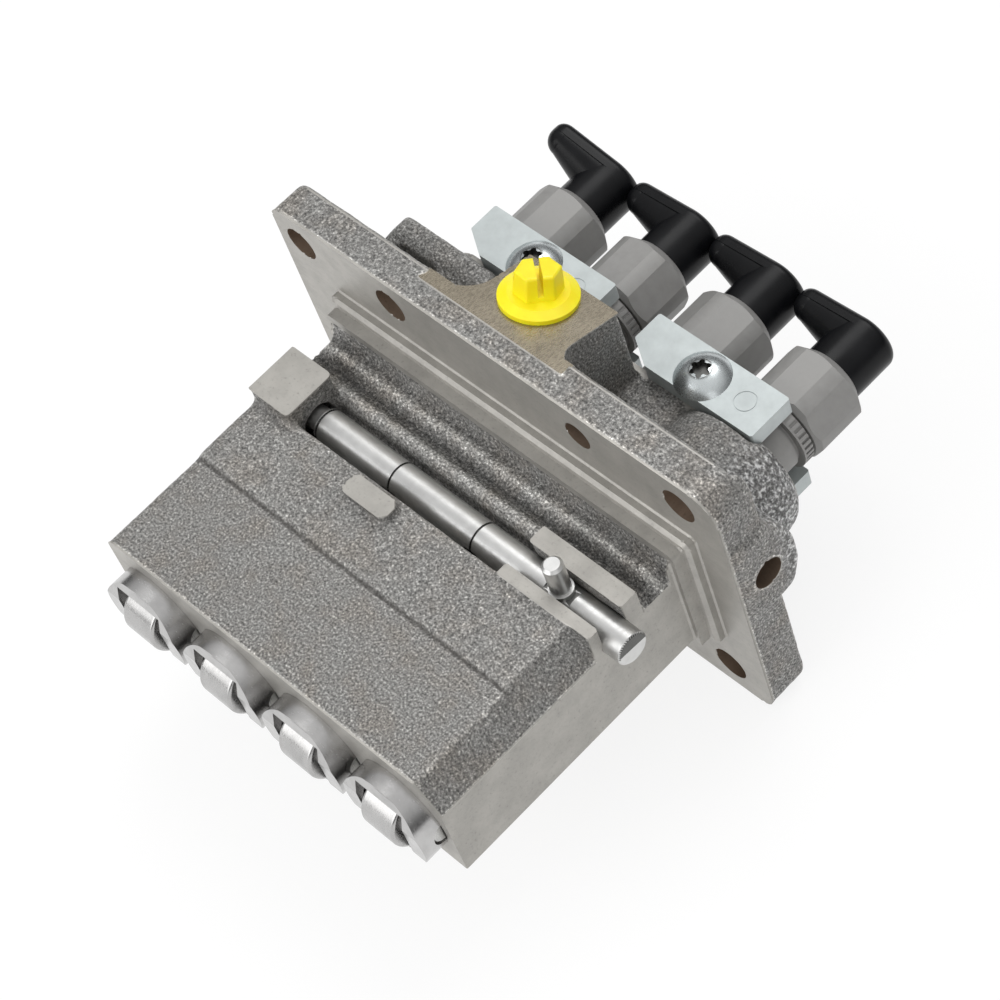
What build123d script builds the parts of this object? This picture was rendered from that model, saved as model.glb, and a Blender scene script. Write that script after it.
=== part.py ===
from build123d import *

import os
from math import radians, sqrt, tan

# Four-element in-line diesel injection pump, in millimetres.
# X runs along the row of elements, +Y along each plunger towards its delivery valve,
# +Z towards the control rack and the fuel inlet. Y = 0 is the face that seats on the engine.

# Row of pumping elements
ELEMENTS = 4
PITCH = 28.0
ROW_X = [(i - (ELEMENTS - 1) / 2) * PITCH for i in range(ELEMENTS)]
FIRST_X = ROW_X[0]
LAST_X = ROW_X[-1]

# Fits and gaps
RUNNING_FIT = 0.05
PIN_FIT = 0.02
SEAT_GAP = 0.02
FREE_GAP = 0.35
CUT_REACH = 100.0

# Tappets, rollers and their pins
TAPPET_BORE_R = 13.0
TAPPET_LIFT = 7.5
TAPPET_TOP = -62.0
TAPPET_CUP_R = 10.6
TAPPET_CUP_DEPTH = 4.0
ROLLER_Y = -82.3
ROLLER_R = 8.9
TAPPET_BOTTOM = ROLLER_Y - 6.7
ROLLER_HALF = 5.4
ROLLER_HUB_R = 5.6
ROLLER_BORE_FIT = 0.04
ROLLER_PIN_R = 3.1
ROLLER_PIN_HALF = 12.3
FORK_HALF = 7.6
FORK_SIDE_GAP = 0.3
FORK_ROOF_GAP = 0.8
ARM_FLAT_HALF = 5.0
ARM_BEVEL = (6.8, 2.0)
GUIDE_PIN_R = 2.0
GUIDE_PIN_Y = -70.0
GUIDE_PIN_REACH = 2.2
GUIDE_SLOT_DEPTH = 2.6

# Tappet block of the housing
BLOCK_BOTTOM = -82.2
FRONT_WALL = 4.5
BACK_WALL = 2.0
LEFT_WALL = 1.5
RIGHT_WALL = 2.0
FRONT_STEP = 0.8
FRONT_STEP_Y = -52.6
SLOPED_EDGE = (6.5, 8.5)
LEFT_EDGE_R = 3.5
BLOCK_LEFT = FIRST_X - TAPPET_BORE_R - LEFT_WALL
BLOCK_RIGHT = LAST_X + TAPPET_BORE_R + RIGHT_WALL
BLOCK_FRONT = TAPPET_BORE_R + FRONT_WALL
BLOCK_BACK = -TAPPET_BORE_R - BACK_WALL
RACK_ZONE_FRONT = BLOCK_FRONT + FRONT_STEP
BIG_PAD_X = (BLOCK_LEFT + 0.3, FIRST_X - 0.2)
BIG_PAD_Y = (-33.3, -18.2)
BIG_PAD_TOP = BLOCK_FRONT + 4.5
BIG_PAD_CORNER_R = 1.2
SMALL_PAD_X = (-17.6, -2.8)
SMALL_PAD_Y = (-39.4, -33.6)
SMALL_PAD_TOP = RACK_ZONE_FRONT + 2.6
SMALL_PAD_CORNER_R = 1.8

# Control rack and its channel
RACK_Y = -25.5
RACK_Z = 11.2
RACK_R = 4.4
RACK_TRAVEL = 4.5
RACK_PROUD = 5.4
RACK_TIP = FIRST_X + 0.8
RACK_END = BLOCK_RIGHT + RACK_PROUD
RACK_TIP_CHAMFER = 1.0
RACK_TAIL_R = 3.4
RACK_END_CHAMFER = 0.4
RING_GROOVE_WIDTH = 0.6
RING_GROOVE_DEPTH = 0.4
FIRST_GROOVE = 1.6
CHANNEL_LOW = RACK_Y - 6.1
CHANNEL_HIGH = RACK_Y + 5.9
CHANNEL_FLOOR = 9.4
CHANNEL_LEFT = BIG_PAD_X[1]
BEARING_LEFT = 27.6
BEARING_LOW = -32.3
BEARING_HIGH = -16.8
BEARING_TOP = RACK_ZONE_FRONT + 0.5
BEARING_SLOT_HALF = 3.65
RACK_PIN_X = 41.0
RACK_PIN_R = 2.6
RACK_PIN_TOP = 26.4
RACK_PIN_COLLAR_R = 3.1
RACK_PIN_COLLAR_TOP = RACK_Z + RACK_R + 0.9
RACK_PIN_DEPTH = 3.4
RACK_FLAT_DROP = 0.5
RACK_FLAT_HALF = 4.2

# Control sleeves: each has a ball arm that stands in a notch on the underside of the rack
SLEEVE_TOP = -18.4
SLEEVE_BOTTOM = -52.0
SLEEVE_WALL = 1.15
ARM_REACH = 9.6
ARM_R = 1.2
BALL_R = 1.9
SLEEVE_SLOT_HALF = 1.5
RACK_NOTCH_HALF = BALL_R + FREE_GAP
RACK_NOTCH_MOUTH = 1.35
RACK_NOTCH_MOUTH_HEIGHT = 1.8
RACK_NOTCH_ROOF = ARM_REACH + BALL_R + FREE_GAP
RACK_TAIL_END = FIRST_X - RACK_NOTCH_HALF - RACK_NOTCH_MOUTH - 1.2
RACK_BORE_LEFT = RACK_TAIL_END - RACK_TRAVEL - 0.6

# Plungers and barrels
PLUNGER_R = 3.25
PLUNGER_FOOT_R = 4.6
PLUNGER_FOOT = 2.0
PLUNGER_FOOT_Y = TAPPET_TOP - TAPPET_CUP_DEPTH + SEAT_GAP
PLUNGER_TOP = 6.0
PLUNGER_GROOVE_R = 2.3
VANE_BOTTOM = -51.5
VANE_TOP = -47.5
VANE_HALF_X = 6.2
VANE_HALF_Z = 1.4
BARREL_NECK_R = 5.2
BARREL_BOTTOM = -39.2
BARREL_R = 7.5
BARREL_SHOULDER = -18.0
BARREL_FLANGE_R = 8.9
BARREL_FLANGE_BOTTOM = 17.5
BARREL_TOP = 21.0
BARREL_PORT_R = 1.5
BARREL_PORT_Y = 12.0

# Plunger springs and their seats
SPRING_BORE_R = 11.0
SPRING_BORE_TOP = -34.5
UPPER_SEAT = 1.5
UPPER_SEAT_R = 10.6
UPPER_SEAT_HOLE = 6.8
LOWER_SEAT = 1.6
LOWER_SEAT_R = 10.2
LOWER_SEAT_Y = PLUNGER_FOOT_Y + PLUNGER_FOOT + 0.1
SPRING_R = 8.3
SPRING_WIRE_R = 1.1
SPRING_TURNS = 5
SLEEVE_CHAMBER_R = 8.8

# Neck between the rack channel and the pilot
NECK_RIDGE = 15.0
NECK_VALLEY = 12.2
NECK_RIDGES_Y = (-17.2, -10.6)
NECK_VALLEY_Y = -13.8
NECK_FOOT_Y = -7.6
NECK_END_R = 6.0

# Pilot, stepped in two tiers
PILOT_LOW = -6.2
PILOT_STEP = -3.0
PILOT_LEFT = -58.0
PILOT_RIGHT = 58.6
PILOT_HALF_Z = 20.6
PILOT_TIER = 1.8
PILOT_BAND = 0.9

# Flange
FLANGE = 10.5
FLANGE_END = 12.2
FLANGE_END_X = 66.5
FLANGE_EDGE_R = 1.5
FLANGE_LEFT = -76.0
FLANGE_RIGHT = 70.5
FLANGE_HALF_Z = 43.0
FLANGE_CORNER_LEFT = 4.0
FLANGE_CORNER_TOP = 8.0
FLANGE_CORNER_BOTTOM = 4.5
BOLT_HOLE_R = 4.8
DOWEL_HOLE_R = 3.9
BOLT_Z = 34.0
BOLT_CENTRE_X = -4.7
OUTER_SPACING = 125.7
INNER_SPACING = 62.5
SIDE_BOSS_LEFT = 54.0
SIDE_BOSS_RIGHT = 72.0
SIDE_BOSS_OUTLINE = ((1.2, -4.6), (11.0, -4.6), (15.8, -3.8), (18.6, 3.5), (18.6, 11.5),
                     (16.4, 18.6), (10.5, 24.0), (1.2, 24.0))
SIDE_BOSS_R = 3.0
SIDE_BOSS_EDGE_R = 1.2
SIDE_HOLE_R = 4.15
SIDE_HOLE_Y = 8.4
SIDE_HOLE_Z = 8.9
SIDE_HOLE_DEPTH = 14.0

# Valve block above the flange
VALVE_BLOCK_R = 13.0
VALVE_BLOCK_TOP = 31.0
PLATE_SEAT_Z = 12.3
END_MASS_PROFILE = ((19.6, 9.5), (18.7, 26.0), (17.9, 29.6), (16.0, 31.6), (13.0, 32.6), (0, 32.6))
SADDLE_TOP_Z = 16.0
SADDLE_TOP_Y = 29.3
SADDLE_LIP_Y = 24.3
SADDLE_SLOPE = (20.0, 13.5)
SADDLE_FOOT_Z = 12.6
SADDLE_CORNER_R = 3.6
SADDLES_X = ((-68.0, -34.0), (22.0, 47.5))
POCKET_X = (-63.5, -48.5)
POCKET_TOP_Y = 22.0
POCKET_FLOOR_Z = 9.0
POCKET_R = 2.5
POST_HALF_X = 4.6
POST_TOP = 40.0
GALLERY_Y = 12.5
GALLERY_Z = 11.0
GALLERY_R = 4.0
FUEL_CHAMBER_R = 10.6
FUEL_CHAMBER_Y = (8.0, 16.0)

# Fuel inlet boss and plug
INLET_X = -4.7
INLET_BOSS_X = (-17.0, 12.1)
INLET_BASE_X = (-30.0, 17.5)
INLET_BASE_Y = 9.8
INLET_ROOT_R = (8.0, 5.0)
INLET_TOP_Y = 29.3
INLET_LOW_Y = 6.5
INLET_LOW_Z = 43.0
INLET_TILT = 15.7
INLET_AXIS_Y = 20.5
INLET_BORE_R = 5.5
INLET_DEPTH = 26.0
PLUG_FLANGE_R = 9.7
PLUG_FLANGE = 1.2
PLUG_DOME_R = 7.4
PLUG_DOME = 2.4
PLUG_GRIP = ((6.3, 0), (3.4, 4.4), (-3.4, 4.4), (-6.3, 0), (-3.4, -4.4), (3.4, -4.4))
PLUG_GRIP_TURN = 54.0
PLUG_GRIP_TAPER = 4.0
PLUG_GRIP_EDGE_R = 0.7
PLUG_TOP = 9.0
PLUG_SLOT = 1.4
PLUG_SLOT_DEPTH = 5.4
PLUG_STEM = 9.0

# Delivery valves
SEAT_R = 8.5
SEAT_TOP = 25.5
SEAT_BORE_R = 2.6
WASHER = 1.0
VALVE_STEM_R = 2.55
VALVE_CAP_R = 3.8
VALVE_CAP = 3.2
VALVE_STEM = 4.0
VALVE_SPRING_R = 2.9
VALVE_SPRING_WIRE_R = 0.55
VALVE_SPRING_TURNS = 6

# Delivery valve holders
THREAD_R = 9.0
HOLDER_BOTTOM = SEAT_TOP + WASHER
HOLDER_NECK_R = 8.8
HOLDER_GROOVE_R = 8.2
HOLDER_GROOVE_Y = (39.4, 40.4)
KNURL_R = 10.3
KNURL_Y = (40.4, 43.4)
KNURL_TEETH = 36
KNURL_SLOT = (0.85, 0.55)
HEX_ACROSS = 21.6
HEX_CORNER_R = 11.5
HEX_LOWER_EDGE = 1.2
HEX_Y = (44.0, 58.5)
HEX_TURN = (12.0, -6.0, 20.0, 4.0)
CROWN_R = 8.1
HOLDER_TOP = 61.0
NIPPLE_R = 6.0
NIPPLE_TOP = 72.0
HOLDER_CAVITY_R = 4.6
HOLDER_CAVITY_TOP = 44.0
OUTLET_R = 1.6
OUTLET_CONE_R = 3.0
O_RING_R = 8.1
O_RING_SECTION_R = 0.8
O_RING_Y = 29.4

# Lock plates and their screws
PLATE_X = 28.0
PLATE_HALF_X = 20.8
PLATE_Y = (29.8, 43.0)
PLATE = 5.0
PLATE_CORNER_CUT = (7.5, 4.6)
PLATE_TOOTH_HALF = 11.0
PLATE_TOOTH_LOW = 8.8
PLATE_TOOTH_Y = 40.7
PRESS_MARK = (13.0, 36.3)
PRESS_MARK_R = 2.9
PRESS_MARK_WIDTH = 0.3
PRESS_MARK_DEPTH = 0.15
SCREW_Y = 35.7
SCREW_HEAD_R = 7.1
SCREW_HEAD = 3.4
SCREW_R = 4.0
SCREW_LENGTH = 9.5
SCREW_SOCKET_R = 2.7
SCREW_SOCKET_DEPTH = 2.2
SCREW_HOLE_R = 4.25
SCREW_LOBES = 6

# Rubber dust caps
CAP_R = 7.93
CAP_BOTTOM = HOLDER_TOP
CAP_TOP = 75.5
CAP_EDGE_R = 2.4
CAP_BORE_R = NIPPLE_R + SEAT_GAP
WING_REACH = 20.0
WING_TIP_R = 4.2
WING_SLAB = 3.7
BELLY_R = 7.8
BELLY_TIP_R = 4.05
WING_TURN = (26.0, 9.0, 9.0, 9.0)


def along_y(radius, y0, y1, x=0.0, z=0.0):
    """Round bar of the given radius from y0 to y1."""
    return Pos(x, (y0 + y1) / 2, z) * Rot(90, 0, 0) * Cylinder(radius, y1 - y0)


def along_x(radius, x0, x1, y, z):
    """Round bar along the row."""
    return Pos((x0 + x1) / 2, y, z) * Rot(0, 90, 0) * Cylinder(radius, x1 - x0)


def along_z(radius, z0, z1, x, y):
    """Round bar across the row."""
    return Pos(x, y, (z0 + z1) / 2) * Cylinder(radius, z1 - z0)


def block(x0, x1, y0, y1, z0, z1):
    """Rectangular block between two opposite corners."""
    centre = Pos((x0 + x1) / 2, (y0 + y1) / 2, (z0 + z1) / 2)
    return centre * Box(x1 - x0, y1 - y0, z1 - z0)


def prism_x(outline, x0, x1, radius=0.0):
    """Outline of (y, z) points, its corners rounded, carried from x0 to x1."""
    wire = FilletPolyline(*outline, radius=radius, close=True)
    return extrude(Plane.YZ.offset(x0) * make_face(wire), amount=x1 - x0)


def prism_y(outline, y0, y1, radius=0.0):
    """Outline of (x, z) points, its corners rounded, carried from y0 to y1."""
    wire = FilletPolyline(*outline, radius=radius, close=True)
    return extrude(Plane.XZ.offset(-y1) * make_face(wire), amount=y1 - y0)


def prism_z(outline, z0, z1, radius=0.0):
    """Outline of (x, y) points, its corners rounded, carried from z0 to z1."""
    wire = FilletPolyline(*outline, radius=radius, close=True)
    return extrude(Plane.XY.offset(z0) * make_face(wire), amount=z1 - z0)


def turned(profile, x=0.0):
    """Profile of (radius, y) points turned about the element axis at x."""
    face = make_face(Polyline(*profile, close=True))
    return Pos(x, 0, 0) * revolve(face, axis=Axis.Y, revolution_arc=360)


def in_rows(piece):
    """A copy of the piece on each element axis, as one group."""
    return Compound([Pos(x, 0, 0) * piece for x in ROW_X])


def coil(radius, wire_r, y0, y1, turns, x=0.0):
    """Helical spring whose wire lies between y0 and y1."""
    height = y1 - y0 - 2 * wire_r
    path = Helix(pitch=height / turns, height=height, radius=radius)
    start = path @ 0
    section = Plane(origin=start, z_dir=path % 0) * Circle(wire_r)
    spring = sweep(section, path=path, is_frenet=True)
    return Pos(x, y0 + wire_r, 0) * Rot(-90, 0, 0) * spring


def rack_channel():
    """Open pocket, bore, slot and sleeve chambers that the control rack runs in."""
    pocket = block(CHANNEL_LEFT, BEARING_LEFT, CHANNEL_LOW, CHANNEL_HIGH, CHANNEL_FLOOR, 60)
    bore_r = RACK_R + RUNNING_FIT
    bore = along_x(bore_r, RACK_BORE_LEFT, BLOCK_RIGHT + 1, RACK_Y, RACK_Z)
    slot = block(BEARING_LEFT - 1, BLOCK_RIGHT + 1, RACK_Y - BEARING_SLOT_HALF,
                 RACK_Y + BEARING_SLOT_HALF, RACK_Z, 60)
    return pocket + bore + slot


def element_bores(x):
    """Everything bored along one element axis."""
    bores = along_y(TAPPET_BORE_R, BLOCK_BOTTOM - 1, TAPPET_TOP + TAPPET_LIFT + 0.6, x)
    bores += along_y(SPRING_BORE_R, BLOCK_BOTTOM, SPRING_BORE_TOP, x)
    bores += along_y(SLEEVE_CHAMBER_R, SPRING_BORE_TOP - 1, BARREL_SHOULDER, x)
    bores += along_y(BARREL_R + RUNNING_FIT, BARREL_SHOULDER - 1, BARREL_FLANGE_BOTTOM + 1, x)
    bores += along_y(FUEL_CHAMBER_R, *FUEL_CHAMBER_Y, x)
    bores += along_y(THREAD_R, BARREL_FLANGE_BOTTOM, POST_TOP + 1, x)
    return bores


def neck():
    """Cast neck with two ridges along the row, between the channel and the pilot."""
    low, high = NECK_RIDGES_Y
    outline = [
        (CHANNEL_HIGH, 0), (CHANNEL_HIGH, NECK_VALLEY), (low, NECK_RIDGE),
        (NECK_VALLEY_Y, NECK_VALLEY), (high, NECK_RIDGE), (NECK_FOOT_Y, NECK_RIDGE - 0.6),
        (PILOT_LOW, PILOT_HALF_Z - 2.0), (PILOT_LOW + 1, PILOT_HALF_Z - 2.0), (PILOT_LOW + 1, 0),
    ]
    radii = [0, 1.6, 1.8, 1.8, 1.8, 1.5, 0, 0, 0]
    plan = [(BLOCK_LEFT, 0), (BLOCK_LEFT, NECK_RIDGE), (BLOCK_RIGHT, NECK_RIDGE), (BLOCK_RIGHT, 0)]
    rounded = prism_y(plan, CHANNEL_HIGH, NECK_FOOT_Y, [0, NECK_END_R / 2, NECK_END_R, 0])
    foot = block(BLOCK_LEFT, BLOCK_RIGHT, NECK_FOOT_Y, 0, 0, CUT_REACH)
    return prism_x(outline, BLOCK_LEFT, BLOCK_RIGHT, radii) & (rounded + foot)


def pilot():
    """Machined pilot in two tiers, with a thin proud band where they meet the flange."""
    low = block(PILOT_LEFT, PILOT_RIGHT, PILOT_LOW, 0.5, -PILOT_HALF_Z + 2, PILOT_HALF_Z)
    low = fillet(low.edges().filter_by(Axis.Y), 2.0)
    grow = PILOT_TIER
    high = block(PILOT_LEFT - grow, PILOT_RIGHT + grow, PILOT_STEP, 0.5,
                 -PILOT_HALF_Z + 2 - grow, PILOT_HALF_Z + grow)
    high = fillet(high.edges().filter_by(Axis.Y), 2.0)
    step = chamfer(high.edges().group_by(Axis.Y)[0], PILOT_BAND)
    return low + step


def flange():
    """Cast flange with a plain machined face towards the engine."""
    outline = [
        (FLANGE_LEFT, -FLANGE_HALF_Z), (FLANGE_LEFT, FLANGE_HALF_Z),
        (FLANGE_RIGHT, FLANGE_HALF_Z), (FLANGE_RIGHT, -FLANGE_HALF_Z),
    ]
    radii = [FLANGE_CORNER_LEFT, FLANGE_CORNER_LEFT, FLANGE_CORNER_TOP, FLANGE_CORNER_BOTTOM]
    plate = prism_y(outline, 0, FLANGE, radii)
    plate = fillet(plate.edges().group_by(Axis.Y)[-1], FLANGE_EDGE_R)
    end = prism_y(outline, 0, FLANGE_END, radii)
    end &= block(FLANGE_END_X, CUT_REACH, 0, FLANGE_END, -CUT_REACH, CUT_REACH)
    return plate + fillet(end.edges().group_by(Axis.Y)[-1], FLANGE_EDGE_R)


def side_boss():
    """Boss on the end of the flange, with its tapped side hole."""
    radii = [0, 0, *[SIDE_BOSS_R] * 4, 0, 0]
    boss = prism_x(SIDE_BOSS_OUTLINE, SIDE_BOSS_LEFT, SIDE_BOSS_RIGHT, radii)
    return chamfer(boss.edges().group_by(Axis.X)[-1], SIDE_BOSS_EDGE_R)


def saddles():
    """Cast seats in front of the lock plates."""
    slope_y, slope_z = SADDLE_SLOPE
    side = [
        (FLANGE - 1, 0), (FLANGE - 1, SADDLE_FOOT_Z), (slope_y, slope_z),
        (SADDLE_LIP_Y, SADDLE_TOP_Z), (SADDLE_TOP_Y, SADDLE_TOP_Z), (SADDLE_TOP_Y, 0),
    ]
    radii = [0, 0, SADDLE_CORNER_R, 1.6, 1.6, 0]
    made = []
    for left, right in SADDLES_X:
        plan = [(left, 0), (left, SADDLE_TOP_Z), (right, SADDLE_TOP_Z), (right, 0)]
        rounded = prism_y(plan, 0, SADDLE_TOP_Y + 1, [0, SADDLE_CORNER_R, SADDLE_CORNER_R, 0])
        made.append(prism_x(side, left, right, radii) & rounded)
    pocket = block(*POCKET_X, 0, POCKET_TOP_Y, POCKET_FLOOR_Z, CUT_REACH)
    pocket = fillet(pocket.edges().group_by(Axis.Z)[0] + pocket.edges().filter_by(Axis.Z), POCKET_R)
    made[0] -= pocket
    return made


def inlet_boss():
    """Boss on the flange, wider at its root."""
    left, right = INLET_BOSS_X
    low_left, low_right = INLET_BASE_X
    outline = [
        (low_left, INLET_BASE_Y - 2), (low_left, INLET_BASE_Y), (left, INLET_BASE_Y),
        (left, INLET_TOP_Y), (right, INLET_TOP_Y), (right, INLET_BASE_Y),
        (low_right, INLET_BASE_Y), (low_right, INLET_BASE_Y - 2),
    ]
    radii = [0, 0, INLET_ROOT_R[0], 0, 0, INLET_ROOT_R[1], 0, 0]
    return prism_z(outline, PLATE_SEAT_Z - 1, INLET_LOW_Z, radii)


def inlet_cut():
    """Everything above the milled inlet face, which also takes the flange edge with it."""
    left, right = INLET_BASE_X
    half = (right - left) / 2
    return inlet_axis() * Pos(left + half - INLET_X, 0, INLET_LOW_Z) * Box(
        2 * half, 2 * INLET_LOW_Z, 2 * INLET_LOW_Z)


def inlet_axis():
    """Location on the inlet face, its Z pointing out of the bore."""
    fall = tan(radians(INLET_TILT))
    z = INLET_LOW_Z - (INLET_AXIS_Y - INLET_LOW_Y) * fall
    return Pos(INLET_X, INLET_AXIS_Y, z) * Rot(-INLET_TILT, 0, 0)


def valve_block():
    """Cast block that the barrels and valve holders stand in, with posts for the screws."""
    body = block(FIRST_X, LAST_X, FLANGE - 1, VALVE_BLOCK_TOP, -PLATE_SEAT_Z, PLATE_SEAT_Z)
    for x in ROW_X:
        body += along_y(VALVE_BLOCK_R, FLANGE - 1, VALVE_BLOCK_TOP, x) & block(
            x - 20, x + 20, 0, 60, -PLATE_SEAT_Z, PLATE_SEAT_Z)
    for x in (-PLATE_X, PLATE_X):
        body += block(x - POST_HALF_X, x + POST_HALF_X, VALVE_BLOCK_TOP - 1, POST_TOP,
                      -PLATE_SEAT_Z, PLATE_SEAT_Z)
    mass = turned(((0, END_MASS_PROFILE[0][1]), *END_MASS_PROFILE), LAST_X)
    beside_plates = block(0, PLATE_X + PLATE_HALF_X + FREE_GAP, SADDLE_TOP_Y, CUT_REACH,
                          -CUT_REACH, CUT_REACH)
    seats = block(0, CUT_REACH, 0, CUT_REACH, -PLATE_SEAT_Z, PLATE_SEAT_Z)
    return body + (mass - (beside_plates - seats))


def pump_housing():
    """The one casting: tappet block, rack channel, neck, pilot, flange and valve block."""
    body = block(BLOCK_LEFT, BLOCK_RIGHT, BLOCK_BOTTOM, PILOT_LOW + 1, BLOCK_BACK, BLOCK_FRONT)
    body = fillet(body.edges().filter_by(Axis.Y).group_by(Axis.X)[0].sort_by(Axis.Z)[-1],
                  LEFT_EDGE_R)
    sloped = [(BLOCK_RIGHT - SLOPED_EDGE[0], BLOCK_FRONT), (BLOCK_RIGHT + 1, BLOCK_FRONT),
              (BLOCK_RIGHT + 1, BLOCK_FRONT - SLOPED_EDGE[1]),
              (BLOCK_RIGHT, BLOCK_FRONT - SLOPED_EDGE[1])]
    body -= block(BLOCK_LEFT - 1, BLOCK_RIGHT + 1, CHANNEL_HIGH, 0, NECK_VALLEY - 4, 60)
    raised = block(BLOCK_LEFT, BLOCK_RIGHT - SLOPED_EDGE[0], FRONT_STEP_Y, CHANNEL_LOW,
                   0, RACK_ZONE_FRONT)
    raised = fillet(raised.edges().filter_by(Axis.Y).group_by(Axis.X)[0].sort_by(Axis.Z)[-1],
                    LEFT_EDGE_R)
    raised = chamfer(raised.edges().filter_by(Axis.X).group_by(Axis.Z)[-1].sort_by(Axis.Y)[0],
                     FRONT_STEP * 0.9)
    body += raised
    body -= prism_y([(x, z + 0.001) for x, z in sloped], BLOCK_BOTTOM - 1, BEARING_LOW)
    body += block(BEARING_LEFT, BLOCK_RIGHT, BEARING_LOW, BEARING_HIGH, 0, BEARING_TOP)
    big = block(*BIG_PAD_X, *BIG_PAD_Y, 0, BIG_PAD_TOP)
    body += fillet(big.edges().filter_by(Axis.Z).group_by(Axis.X)[-1], BIG_PAD_CORNER_R)
    small = block(*SMALL_PAD_X, *SMALL_PAD_Y, 0, SMALL_PAD_TOP)
    body += fillet(small.edges().filter_by(Axis.Z), SMALL_PAD_CORNER_R)
    body += neck()
    body += pilot()
    body += flange()
    body += side_boss()
    body += valve_block()
    for seat in saddles():
        body += seat
    body += inlet_boss()
    body -= inlet_cut()
    body -= rack_channel()
    for x in ROW_X:
        body -= element_bores(x)
        body -= along_z(GUIDE_PIN_R + PIN_FIT, BLOCK_BACK - 1, 0, x, GUIDE_PIN_Y)
    body -= along_x(GALLERY_R, FIRST_X, LAST_X, GALLERY_Y, GALLERY_Z)
    body -= inlet_axis() * Pos(0, 0, -INLET_DEPTH / 2) * Cylinder(INLET_BORE_R, INLET_DEPTH)
    for side in (-1, 1):
        for spacing, inner in ((OUTER_SPACING, False), (INNER_SPACING, True)):
            for end in (-1, 1):
                radius = DOWEL_HOLE_R if inner and end > 0 else BOLT_HOLE_R
                x = BOLT_CENTRE_X + end * spacing / 2
                body -= along_y(radius, -1, FLANGE + 1, x, side * BOLT_Z)
    body -= along_x(SIDE_HOLE_R, SIDE_BOSS_RIGHT - SIDE_HOLE_DEPTH, SIDE_BOSS_RIGHT + 1,
                    SIDE_HOLE_Y, SIDE_HOLE_Z)
    for x in (-PLATE_X, PLATE_X):
        for side in (-1, 1):
            low, high = sorted((side * (PLATE_SEAT_Z - SCREW_LENGTH - 0.5), side * (PLATE_SEAT_Z + 1)))
            body -= along_z(SCREW_R, low, high, x, SCREW_Y)
    return body


def inlet_plug():
    """Push-in plug of the fuel inlet: domed disc, tapered grip with a slot, and a stem."""
    rim = PLUG_FLANGE + SEAT_GAP
    dome = make_face(Polyline((0, SEAT_GAP), (PLUG_FLANGE_R, SEAT_GAP), (PLUG_FLANGE_R, rim),
                              (PLUG_DOME_R, PLUG_DOME), (0, PLUG_DOME), close=True))
    disc = Rot(90, 0, 0) * revolve(dome, axis=Axis.Y, revolution_arc=360)
    grip = make_face(Polyline(*PLUG_GRIP, close=True))
    grip = extrude(Pos(0, 0, PLUG_DOME - 1) * grip, amount=PLUG_TOP - PLUG_DOME + 1,
                   taper=PLUG_GRIP_TAPER)
    slot = Pos(0, 0, PLUG_TOP) * Box(PLUG_SLOT, CUT_REACH, 2 * PLUG_SLOT_DEPTH)
    grip = Rot(0, 0, PLUG_GRIP_TURN) * (fillet(grip.edges(), PLUG_GRIP_EDGE_R) - slot)
    stem = Pos(0, 0, -PLUG_STEM / 2 + 1) * Cylinder(INLET_BORE_R - RUNNING_FIT, PLUG_STEM + 2)
    return inlet_axis() * (disc + grip + stem)


def lock_plate():
    """Front lock plate on the row centre, whose tooth stands between two holders."""
    y0, y1 = PLATE_Y
    cut_x, cut_y = PLATE_CORNER_CUT
    outline = [(-PLATE_HALF_X, y0 + cut_y), (-PLATE_HALF_X, y1), (PLATE_HALF_X, y1),
               (PLATE_HALF_X, y0), (-PLATE_HALF_X + cut_x, y0)]
    wire = FilletPolyline(*outline, radius=0.6, close=True)
    plate = extrude(Plane.XY.offset(PLATE_SEAT_Z) * make_face(wire), amount=PLATE)
    plate += block(-PLATE_TOOTH_HALF, PLATE_TOOTH_HALF, PLATE_TOOTH_Y + 0.6, y1 - 0.2,
                   PLATE_TOOTH_LOW, PLATE_SEAT_Z + 1)
    for side in (-1, 1):
        plate -= along_y(KNURL_R + 0.25, 30, 50, side * PITCH / 2)
    plate -= along_z(SCREW_HOLE_R, 0, CUT_REACH, 0, SCREW_Y)
    top = PLATE_SEAT_Z + PLATE
    mark = along_z(PRESS_MARK_R, top - PRESS_MARK_DEPTH, top + 1, *PRESS_MARK)
    mark -= along_z(PRESS_MARK_R - PRESS_MARK_WIDTH, top - 1, top + 1, *PRESS_MARK)
    return plate - mark


def lock_screw():
    """Domed screw with a six-lobe socket, seated on the front lock plate."""
    top = PLATE_SEAT_Z + PLATE
    dome_r = (SCREW_HEAD_R ** 2 + SCREW_HEAD ** 2) / (2 * SCREW_HEAD)
    dome = Pos(0, 0, top + SCREW_HEAD - dome_r) * Sphere(dome_r)
    head = dome & Pos(0, 0, top + SEAT_GAP + SCREW_HEAD) * Cylinder(SCREW_HEAD_R, 2 * SCREW_HEAD)
    stem_low = PLATE_SEAT_Z - SCREW_LENGTH
    stem = Pos(0, 0, (stem_low + top + 1) / 2) * Cylinder(SCREW_R - PIN_FIT, top + 1 - stem_low)
    socket = Cylinder(SCREW_SOCKET_R * 0.72, 2 * SCREW_SOCKET_DEPTH)
    for lobe in range(SCREW_LOBES):
        socket += Rot(0, 0, lobe * 360 / SCREW_LOBES) * Pos(SCREW_SOCKET_R * 0.72, 0, 0) * Cylinder(
            SCREW_SOCKET_R * 0.26, 2 * SCREW_SOCKET_DEPTH)
    screw = head + stem - Pos(0, 0, top + SCREW_HEAD) * socket
    return Pos(0, SCREW_Y, 0) * screw


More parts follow.
